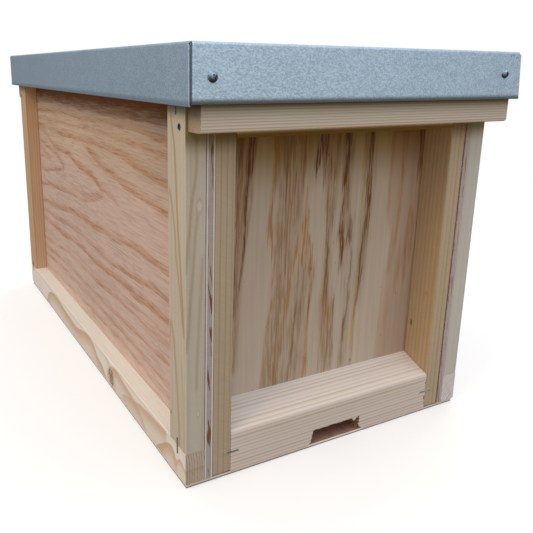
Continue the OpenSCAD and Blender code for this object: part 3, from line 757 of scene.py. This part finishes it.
# The end panels: pale veneer with heart streaks up the board. Each has a strength and a row of height,
# place across and half breadth, in millimetres
streakedPanel = {
    "pale": (0.615, 0.489, 0.362), "brown": (0.19, 0.079, 0.016), "tan": (0.455, 0.238, 0.092),
    "umber": (0.375, 0.225, 0.102), "pink": (0.53, 0.372, 0.262), "resin": (0.6, 0.41, 0.11),
    "barGrime": (0.56, 0.47, 0.2), "barRun": (0.183, 0.231), "height": 0.27, "lift": 0.1, "veneer": 0.0014,
    "darkStreaks": (
        (0.95, (262, -62, 3.8, 228, -63, 3.2, 215, -64, 2.4, 205, -66, 3, 200, -66.5, 2.6,
                190, -67.5, 1.7, 180, -67.5, 1.1, 170, -67.3, 1.4, 160, -68, 1.6, 150, -69, 1.3,
                140, -70, 0.9, 130, -71, 0.7, 122, -71.3, 0.3)),
        (0.55, (262, -72, 2.4, 228, -73, 1.8, 212, -73, 1.4, 203, -73.5, 0.5)),
        (0.5, (192, -63.4, 0.3, 184, -64, 0.6, 174, -64.4, 0.3)),
        (0.6, (262, -75, 1.2, 228, -75.5, 1.2, 200, -75.5, 0.8, 175, -74.5, 1.1, 160, -74.3, 0.9,
               150, -75.5, 0.8, 135, -75.3, 1, 120, -75.5, 1, 105, -76, 0.8, 88, -76, 0.5)),
        (0.95, (262, -6, 5, 228, -7, 4, 220, -7, 3.4, 212, -8.5, 3.1, 205, -10, 2.5, 200, -11, 1.6,
                196, -10.7, 0.4)),
        (0.85, (262, -2, 2.6, 228, -3, 2.2, 215, -3.5, 1.8, 205, -3.8, 1.6, 198, -3.5, 1.3,
                188, -3.3, 0.5)),
        (0.6, (262, 1.5, 1.4, 228, 1.5, 1.2, 210, 1.5, 1, 195, 1.5, 1, 180, 1.5, 1.4, 170, 2.2, 1.8,
               160, 2.5, 1.6, 150, 3, 1.7, 140, 3.2, 1.8, 130, 3, 1.5, 115, 3.5, 1.5, 103, 3, 1.2)),
        (0.5, (222, 8, 0.5, 205, 6.5, 0.7, 190, 5.6, 0.6, 180, 7, 0.8, 165, 5.8, 0.7, 150, 4.6, 0.5)),
        (0.95, (262, 17.5, 3.6, 228, 17, 3.3, 220, 16.5, 2.9, 210, 16.2, 2.3, 200, 16, 2.5, 190, 16.5, 2,
                180, 16.8, 1.8, 170, 15.5, 2, 160, 14.8, 2.3, 152, 14.5, 2.4, 145, 15.8, 2.6,
                138, 16.2, 1.9, 130, 16.3, 1.3, 124, 16, 0.4)),
        (0.6, (262, 22, 0.9, 228, 21.5, 0.8, 205, 20.8, 0.7, 190, 20.3, 0.6, 165, 19, 0.6,
               148, 18.6, 0.6)),
        (0.85, (168, 27, 0.4, 160, 25.6, 0.8, 150, 24.6, 1, 145, 22.6, 2, 141, 22, 1.2)),
        (0.75, (166, 21.8, 0.5, 155, 22.4, 0.9, 147, 21.2, 1.5, 142, 20.8, 1)),
        (0.62, (141, 25.3, 0.6, 130, 25.8, 0.9, 120, 26, 1, 110, 25, 1.1, 104, 26, 0.8, 92, 25, 0.8,
                85, 23, 1.4, 75, 23, 1.4, 65, 22.5, 1.3, 50, 21.5, 1.2, 40, 21.3, 1)),
        (0.82, (262, 39, 2.8, 228, 38.5, 2.6, 215, 38.3, 2.5, 200, 38.7, 2.4, 190, 38, 2.2,
                180, 39.3, 2.2, 170, 40, 1.8, 160, 39, 2.5, 150, 38, 2.9, 140, 37.3, 2.6, 130, 36.8, 2.3,
                120, 36.3, 2.2, 112, 35, 2, 105, 34.4, 1.3, 95, 33.6, 0.5)),
        (0.9, (262, 33, 1.6, 228, 32.8, 1.4, 218, 32.5, 1, 207, 31.8, 0.3)),
        (0.45, (98, 33.6, 0.4, 88, 33.3, 0.5, 80, 32.8, 0.3)),
        (0.6, (107, 11.8, 0.5, 95, 11.5, 0.9, 85, 11.5, 1.2, 75, 12, 1.3, 65, 12.5, 1.2, 45, 12, 0.9)),
        (0.62, (103, -23, 0.4, 95, -24, 0.9, 85, -24.5, 1.1, 75, -25, 1.2, 65, -26, 1.1, 44, -27.5, 0.9)),
        (0.5, (128, -9.8, 0.4, 118, -9.9, 0.7, 110, -10.6, 0.7, 100, -11.5, 0.7, 90, -12.2, 0.5)),
        (0.5, (262, 88, 4, 228, 88.5, 3.5, 210, 90, 2.4, 200, 88.5, 2.4, 194, 87.5, 1.2, 188, 88, 0.5))),
    "tanStreaks": (
        (0.7, (202, -73, 0.8, 185, -73, 1.8, 165, -72.5, 1.8, 145, -73, 1.5, 133, -73.5, 0.8)),
        (0.45, (122, -72, 0.5, 105, -72, 0.8, 85, -73, 0.7, 60, -74, 0.5)),
        (0.85, (262, -43, 3.2, 228, -44, 3, 210, -44, 2.4, 200, -44.5, 2.2, 190, -46, 1.6, 180, -47, 1.4,
                170, -48, 1.6, 163, -48, 2.2, 155, -46.5, 2, 148, -44, 1.4, 140, -43.2, 1, 130, -44, 0.9,
                120, -45, 0.9, 112, -45.5, 0.4)),
        (0.55, (178, -43, 0.5, 160, -43, 0.8, 147, -43.2, 0.7)),
        (0.6, (113, -43, 1.2, 105, -44, 2, 95, -47, 1.4, 85, -48, 1.2, 75, -49, 1.2, 60, -50, 1,
               40, -51, 1)),
        (0.85, (165, -20, 1, 158, -22, 1.8, 150, -24, 2.4, 143, -26, 2, 135, -27.5, 1.8, 125, -29, 1.4,
                115, -30.3, 1.2, 105, -31.5, 1.2, 95, -33, 1.3, 85, -36, 1.5, 75, -38, 1.4, 60, -39, 1.2,
                40, -40, 1.2)),
        (0.95, (165, -18, 1.2, 158, -17.5, 2.2, 150, -15, 3.5, 143, -13.5, 3.7, 136, -12, 3.3,
                130, -10.5, 2.9, 124, -9.3, 2, 115, -9.7, 1.5, 105, -11, 1.5, 95, -11.8, 1.5,
                85, -12.5, 1.6, 75, -13, 1.8, 60, -12.8, 2.2, 40, -13, 2.4)),
        (0.85, (188, -19.8, 0.4, 175, -18.5, 1.2, 165, -18.5, 2.6, 155, -19.5, 4, 148, -19.5, 4.3,
                140, -20, 2.8, 128, -21, 1.2)),
        (0.5, (262, -23, 3, 228, -23, 2.4, 210, -24, 2, 194, -26, 1)),
        (0.5, (262, -33, 1.5, 228, -33, 1.2, 205, -33.5, 1, 180, -33, 0.8, 158, -33, 0.5)),
        (0.7, (114, 2, 1.2, 105, 1.8, 2.4, 95, 1.5, 2.4, 85, 1.5, 1.6, 75, 1.5, 1.2, 64, 2, 0.6)),
        (0.9, (98, 10, 0.8, 93, 8.4, 2.6, 88, 7.3, 3.1, 83, 7, 2.2, 79, 7, 0.6)),
        (0.8, (106, 32.7, 0.6, 95, 32.5, 0.8, 85, 32, 1.2, 70, 31.9, 1.1, 40, 32, 1.1)),
        (0.6, (262, 60, 2.2, 228, 60, 2, 210, 59.5, 1.5, 190, 59, 1.2, 175, 59.5, 1.2, 160, 60, 0.7)),
        (0.75, (262, 73, 2.8, 228, 72.5, 2.5, 210, 72, 2, 195, 72, 2, 180, 71.5, 1.2, 165, 71.5, 1,
                150, 71, 1, 138, 71, 0.5)),
        (0.5, (192, 70, 0.4, 185, 69.5, 1.1, 172, 68.5, 0.5)),
        (0.45, (154, 66, 0.8, 140, 67, 2.4, 125, 65, 2.4, 110, 64.5, 1)),
        (0.65, (168, 85, 1.4, 155, 84.5, 4, 145, 84.5, 5, 135, 84, 5, 125, 83, 4.4, 115, 82.5, 2.5,
                103, 82, 0.8)),
        (0.5, (137, 75, 1.4, 120, 75, 2.5, 110, 74, 2, 97, 72.5, 0.8)),
        (0.4, (100, 66, 0.8, 80, 66, 1.8, 60, 66.5, 1.8, 40, 67, 1.5)),
        (0.8, (262, 90, 2.6, 200, 91, 2.6, 150, 92, 2, 40, 91, 1.6))),
    "washes": (
        (0.74, (262, -28, 17, 228, -28, 16, 210, -29, 14, 195, -31, 11, 180, -32.5, 10, 165, -33, 10,
                150, -34, 9, 130, -35, 8, 110, -36.5, 8, 90, -38.5, 8, 60, -41, 8, 30, -42, 8)),
        (0.55, (142, -19, 2, 125, -19.5, 7, 110, -20.5, 8, 90, -22, 8.5, 60, -25, 9.5, 30, -27, 10)),
        (0.7, (262, -69, 8, 228, -69, 7.5, 200, -70, 6, 170, -71.5, 4.5, 140, -73, 3, 110, -74.5, 2,
               60, -75, 1.5)),
        (0.6, (262, 7, 14, 228, 6, 12, 205, 4.5, 7, 180, 4.5, 4.5, 150, 4, 3.5, 115, 3.5, 4, 95, 4, 6,
               80, 6, 6, 40, 7, 6)),
        (0.55, (262, 18, 6, 228, 18, 5, 190, 18, 4, 160, 18, 6, 145, 19, 6.5, 135, 18, 3, 115, 22, 2,
                90, 24, 2, 40, 23, 2)),
        (0.55, (262, 37, 6, 228, 37, 5.5, 190, 38.5, 4.5, 160, 38.5, 4.5, 130, 37, 4, 110, 35.5, 3,
                93, 34, 1.2))),
    "softEdge": {"darkStreaks": 0.0013, "tanStreaks": 0.0016, "washes": 0.0045},
    "pinkEdge": (262, 58, 228, 58, 190, 57.5, 165, 58.5, 150, 62, 140, 64.5, 130, 63, 115, 61, 100, 60,
                 80, 58, 60, 57.5, 30, 57),
    "resinLine": (262, 32, 215, 32, 200, 32, 190, 32.5, 175, 33, 160, 33.2, 150, 33.5, 140, 33.5,
                  125, 33, 110, 32.8, 95, 32.5, 85, 32.2, 75, 31.8, 60, 32, 40, 32),
}


def streakShare(group, up, side):
    look = streakedPanel
    soft = look["softEdge"][group]
    most = 0.0
    for strength, row in look[group]:
        drawn = metres(row, 3)
        middle = trace(up, 0.0, look["height"], [(z, x + look["lift"]) for z, x, wide in drawn])
        breadth = trace(up, 0.0, look["height"], [(z, wide) for z, x, wide in drawn])
        off = gapTo(side, minus(middle, look["lift"]))
        share = spread(minus(off, breadth), soft, -soft, 0.0, strength)
        share = times(share, between(up, min(drawn)[0], max(drawn)[0], 0.004, 0.006))
        most = calc("MAXIMUM", most, share)
    return most


def streakedPly(node, turned, seed):
    look = streakedPanel
    sheet, (x, y, z), middle, half = startBoard("streakedPly", node, 1)
    up = minus(look["height"], z) if turned else z
    shake = cloud(sheet, (150.0, 5.0, 26.0), seed + 3.0)
    fine = cloud(sheet, (560.0, 30.0, 17.0), seed + 9.0, detail=4.0, rough=0.65)
    tuft = cloud(sheet, (700.0, 30.0, 34.0), seed + 27.0, detail=3.0, rough=0.6)
    fleck = cloud(sheet, (680.0, 30.0, 42.0), seed + 33.0, detail=3.0, rough=0.65)
    side = shaken(shaken(x, shake, 0.0012), tuft, 0.006)
    combed = shaken(up, tuft, 0.045)
    grainy = spread(fleck, 0.42, 0.58, 0.42, 1.15)
    wash = times(streakShare("washes", combed, side), spread(fleck, 0.4, 0.6, 0.5, 1.2), clamp=True)
    tan = times(streakShare("tanStreaks", combed, side), grainy, clamp=True)
    dark = times(streakShare("darkStreaks", combed, side), grainy, clamp=True)
    pinkLine = trace(up, 0.0, look["height"], metres(look["pinkEdge"]))
    resinLine = trace(up, 0.0, look["height"], metres(look["resinLine"]))
    face = paint(spread(minus(side, pinkLine), -0.003, 0.004, 0.0, 0.85), look["pale"], look["pink"])
    face = paint(wash, face, look["umber"])
    face = paint(tan, face, look["tan"])
    thread = cloud(sheet, (600.0, 30.0, 14.0), seed + 39.0, detail=3.0, rough=0.6)
    face = paint(times(wash, spread(thread, 0.52, 0.64, 0.0, 0.6)), face, look["brown"])
    face = paint(dark, face, look["brown"])
    onLine = spread(gapTo(x, resinLine), 0.0009, 0.0003)
    broken = spread(cloud(sheet, (30.0, 5.0, 36.0), seed + 12.0), 0.42, 0.6)
    face = paint(times(onLine, broken), face, look["resin"])
    speck = cloud(sheet, (420.0, 30.0, 160.0), seed + 15.0, detail=1.0)
    face = paint(spread(speck, 0.73, 0.79, 0.0, 0.6), face, look["brown"])
    tone = cloud(sheet, (22.0, 5.0, 8.0), seed + 18.0)
    lines = cloud(sheet, (330.0, 30.0, 9.0), seed + 24.0, detail=3.0, rough=0.6)
    value = times(around(fine, 0.26), around(tone, 0.22))
    face = brighten(face, times(value, around(lines, 0.34)))
    # painted shade on the outer face, under the hand bar
    outer = spread(lean(1), 0.0, 0.5 if turned else -0.5)
    face = stain(times(outer, spread(z, *look["barRun"])), face, look["barGrime"])
    lens = cloud(sheet, (40.0, 430.0, 40.0), seed + 21.0, detail=1.0)
    edge = edgeOf(y, middle, half, look["veneer"], spread(lens, 0.54, 0.6), fine)
    coat(node, paint(facing(1), edge, face), mulAdd(fine, 0.2, 0.5), fine, 0.00025, 0.35, 0.25)


streakedPly("front_panel", False, 61.0)
streakedPly("rear_panel", True, 77.0)


# Thin reddish plywood under the box and over the roof timbers
thinPly = {"base": (0.4, 0.205, 0.125), "band": (0.26, 0.12, 0.07), "edge": (0.95, 0.84, 0.68),
           "glue": (0.2, 0.1, 0.06), "veneer": 0.0007, "bands": 70.0}


def redPly(node, seed):
    look = thinPly
    sheet, (x, y, z), middle, half = startBoard("redPly", node, 2)
    skin = half - look["veneer"]
    sway = cloud(sheet, (24.0, 4.0, 5.0), seed)
    lines = calc("FRACT", mulAdd(x, look["bands"], times(sway, 4.0)))
    band = curve(lines, ((0.0, 0.0), (0.55, 0.25), (0.9, 0.9), (1.0, 0.0)), "EASE")
    fibre = cloud(sheet, (900.0, 26.0, 200.0), seed + 3.0, detail=3.0, rough=0.6)
    face = paint(times(band, 0.6), look["base"], look["band"])
    face = brighten(face, around(fibre, 0.25))
    edge = paint(spread(gapTo(z, middle), skin - 0.0001, skin + 0.0001), look["edge"], look["glue"])
    edge = brighten(edge, around(cloud(sheet, (90.0, 90.0, 500.0), seed + 6.0), 0.5))
    coat(node, paint(facing(2), edge, face), mulAdd(fibre, 0.2, 0.52), fibre, 0.0002, 0.35)


redPly("floor_sheet", 91.0)
redPly("roof_deck", 97.0)
print("plywood dressed")


# Galvanised sheet: fine leathery zinc grain, painted light brighter to the front and left, painted shade
# along the lower lips, cut edges dark partly from oxide and partly as painted shade, painted shadow along the
# corner seam, and a few rust dots by one corner
zincSheet = {
    "pale": (0.625, 0.737, 0.772), "dull": (0.452, 0.547, 0.582), "dust": (0.92, 0.87, 0.8),
    "fadeBack": (1.08, 0.86), "fadeAcross": (1.08, 0.93),
    "grain": 900.0, "cells": 330.0, "rough": 0.46, "metal": 0.9, "seed": 111.0,
    "lip": (0.27, 0.32, 0.34), "lipRise": (0.0042, 0.0014, 0.0, 0.6), "cutEnd": (0.085, 0.085, 0.092),
    "endLip": (0.1, 0.105, 0.085), "endLipHang": (0.0285, 0.0322, 0.0, 0.9), "endSkin": (0.0013, 0.0009),
    "seamAcross": (0.0019, 0.0015), "seamSkin": (0.00098, 0.00088), "rust": (0.3, 0.15, 0.06),
    "rustDots": ((0.1245, -0.248, 0.2815), (0.1275, -0.248, 0.2795), (0.1215, -0.248, 0.2808)),
}


def galvanised(node):
    look = zincSheet
    startMaterial("galvanised_" + node)
    spot = place()
    seed = look["seed"]
    low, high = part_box(node)
    x, y, z = split(spot)
    grain = cloud(spot, (look["grain"],) * 3, seed)
    cells = add("TexVoronoi")
    plug(cells.inputs["Vector"], spot)
    plug(cells.inputs["Scale"], look["cells"])
    patch = cloud(spot, (22.0,) * 3, seed + 4.0, detail=3.0)
    mixed = mulAdd(split(cells.outputs["Color"])[0], 0.1, times(grain, 0.9))
    mixed = shaken(mixed, patch, 0.12)
    colour = paint(spread(mixed, 0.3, 0.7), look["dull"], look["pale"])
    # painted light: the sheet is brighter towards the front and left and darker towards the back and right
    fade = times(spread(y, low[1], high[1], *look["fadeBack"], soft=False),
                 spread(x, low[0], high[0], *look["fadeAcross"], soft=False))
    colour = brighten(colour, fade)
    upward = spread(lean(2), 0.5, 0.9)
    marks = cloud(spot, (13.0,) * 3, seed + 8.0, detail=3.0)
    colour = stain(times(upward, spread(marks, 0.4, 0.66, 0.35, 0.85)), colour, look["dust"])
    ring = spread(gapTo(marks, 0.53), 0.012, 0.002, 0.0, 0.16)
    colour = paint(times(upward, ring), colour, look["lip"])
    # painted shade along the lower lips
    colour = paint(spread(minus(z, low[2]), *look["lipRise"]), colour, look["lip"])
    skin = minus(high[1], calc("ABSOLUTE", y))
    endFlange = spread(skin, *look["endSkin"])
    # the end flanges' cut edges are dark: partly their own oxide, partly painted shade
    colour = paint(times(endFlange, facing(0)), colour, look["cutEnd"])
    # painted shade on the end flanges' lower lip
    colour = paint(times(endFlange, spread(minus(high[2], z), *look["endLipHang"])), colour, look["endLip"])
    # painted shadow along the seam at the left corners
    seam = times(spread(minus(x, low[0]), *look["seamAcross"]), spread(skin, *look["seamSkin"]))
    colour = paint(times(seam, 0.85), colour, look["cutEnd"])
    for dot in look["rustDots"]:
        reach = vectorCalc("LENGTH", vectorCalc("SUBTRACT", spot, dot))
        colour = paint(spread(reach, 0.001, 0.0004, 0.0, 0.7), colour, look["rust"])
    rough = mulAdd(mixed, 0.2, look["rough"] - 0.1)
    coat(node, colour, rough, grain, 0.0005, 0.6, metal=look["metal"])


galvanised("roof_cover")


# Plated wire, nails and screws
brightWire = {"light": (0.41, 0.46, 0.505), "dark": (0.17, 0.19, 0.213), "rough": 0.34}
nailShade = {"post_nails": 0.5, "side_staples": 0.5, "end_staples": 1.7, "hand_bar_screws": 1.0,
             "floor_nails": 0.7, "roof_screws": 0.9}


def plated(node, shade, seed):
    look = brightWire
    startMaterial("plated_" + node)
    spot = place()
    grime = cloud(spot, (380.0,) * 3, seed, detail=3.0)
    scratch = cloud(spot, (1600.0, 300.0, 1600.0), seed + 2.0)
    colour = paint(spread(grime, 0.35, 0.7), look["dark"], look["light"])
    # painted reflection: upward faces lighter and downward faces darker, scaled by each part's shade
    sky = spread(lean(2), -0.8, 0.7, 0.3 * shade, 1.7 * shade)
    colour = brighten(colour, times(around(scratch, 0.3), sky))
    coat(node, colour, mulAdd(grime, 0.25, look["rough"] - 0.1), scratch, 0.0001, 0.2, metal=1.0)


for number, (node, shade) in enumerate(nailShade.items()):
    plated(node, shade, 121.0 + number)
print("metal dressed")


# Floor, light and camera
stageLook = {
    "sides": 96, "radius": 3.0, "drop": 0.0004, "fade": (0.5, 1.5, 1.0, 0.0), "floorGlow": 0.44,
    "floorTone": (0.55, 0.515, 0.465), "floorRough": 0.9, "boxMiddle": (0.0, 0.0, 0.14),
    "above": (0.79, 0.89, 1.06), "below": (0.38, 0.29, 0.195), "horizon": 0.28, "climb": 1.6,
    "backShare": 0.62, "frontShare": 0.9, "mirrored": (0.7, 0.5), "mirrorBack": 0.5,
}


def layFloor():
    look = stageLook
    pickNone()
    bpy.ops.mesh.primitive_circle_add(vertices=look["sides"], radius=look["radius"], fill_type="NGON",
                                      location=(0, 0, -look["drop"]))
    floor = bpy.context.object
    floor.name = "studio_floor"
    floor.visible_diffuse = False
    floor.visible_glossy = False
    startMaterial("studioFloor")
    reach = vectorCalc("LENGTH", place())
    for name, value in (("Alpha", spread(reach, *look["fade"])), ("Base Color", look["floorTone"]),
                        ("Emission Color", (1.0, 1.0, 1.0)), ("Emission Strength", look["floorGlow"]),
                        ("Roughness", look["floorRough"])):
        plug(work["shader"].inputs[name], value)
    floor.data.materials.append(work["mat"])


# Cool sky above, warm bounce below and less light from behind; metal mirrors a brighter skyline,
# and straight to the camera the air is white
def lightWorld():
    look = stageLook
    world = bpy.data.worlds.new("studioAir")
    bpy.context.scene.world = world
    startTree(world)
    output = add("OutputWorld")
    x, y, z = split(add("TexCoord").outputs["Generated"])
    back = mulAdd(y, 0.95, times(x, -0.3))
    sky = brighten(look["above"], mulAdd(z, look["climb"], look["horizon"]))
    tone = paint(spread(z, -0.12, 0.22), look["below"], sky)
    tone = brighten(tone, spread(back, -0.2, 1.0, 1.0, look["backShare"]))
    tone = brighten(tone, spread(back, -1.0, -0.1, look["frontShare"], 1.0))
    skyline, rise = look["mirrored"]
    mirrored = brighten(look["above"], mulAdd(z, rise, skyline))
    mirrored = paint(spread(z, -0.45, -0.05), look["below"], mirrored)
    mirrored = brighten(mirrored, spread(back, -0.2, 1.0, 1.0, look["mirrorBack"]))
    path = add("LightPath")
    air = None
    for ray, colour in ((None, tone), ("Is Glossy Ray", mirrored), ("Is Camera Ray", (1.0, 1.0, 1.0))):
        layer = add("Background")
        plug(layer.inputs["Color"], colour)
        if ray:
            choice = add("MixShader")
            link(path.outputs[ray], choice.inputs[0])
            link(air, choice.inputs[1])
            link(layer.outputs[0], choice.inputs[2])
            air = choice.outputs[0]
        else:
            air = layer.outputs[0]
    link(air, output.inputs["Surface"])


softBoxes = {
    "leftWindow": {"spot": (-1.5, -0.45, 1.7), "size": 0.9, "power": 18.0, "tone": (1.0, 0.8, 0.55)},
    "rightWindow": {"spot": (1.6, 0.8, 1.5), "size": 0.9, "power": 12.0, "tone": (1.0, 0.8, 0.55)},
}


def hangLights():
    for name, look in softBoxes.items():
        data = bpy.data.lights.new(name, "AREA")
        data.shape = "SQUARE"
        data.size = look["size"]
        data.energy = look["power"]
        data.color = look["tone"]
        lamp = bpy.data.objects.new(name, data)
        bpy.context.collection.objects.link(lamp)
        lamp.visible_glossy = False
        lamp.location = look["spot"]
        aim = Vector(stageLook["boxMiddle"]) - Vector(look["spot"])
        lamp.rotation_euler = aim.to_track_quat("-Z", "Y").to_euler()


viewpoint = {"spot": (-0.276491, -0.548185, 0.268732), "turn": 0.491, "tilt": 0.253, "roll": 0.01,
             "reach": 616.24, "middle": (213.0, 230.0), "frame": 533.0}


def setCamera():
    look = viewpoint
    data = bpy.data.cameras.new("photoCamera")
    data.sensor_width = 36.0
    data.lens = look["reach"] * data.sensor_width / look["frame"]
    data.shift_x = (look["frame"] / 2 - look["middle"][0]) / look["frame"]
    data.shift_y = (look["middle"][1] - look["frame"] / 2) / look["frame"]
    data.clip_start = 0.01
    camera = bpy.data.objects.new("photoCamera", data)
    bpy.context.collection.objects.link(camera)
    swing = Matrix.Rotation(-look["turn"], 4, "Z") @ Matrix.Rotation(math.pi / 2 - look["tilt"], 4, "X")
    camera.matrix_world = Matrix.Translation(look["spot"]) @ swing @ Matrix.Rotation(look["roll"], 4, "Z")
    bpy.context.scene.camera = camera


layFloor()
lightWorld()
hangLights()
setCamera()
bpy.context.scene.view_settings.view_transform = "Standard"
print("stage and camera set")
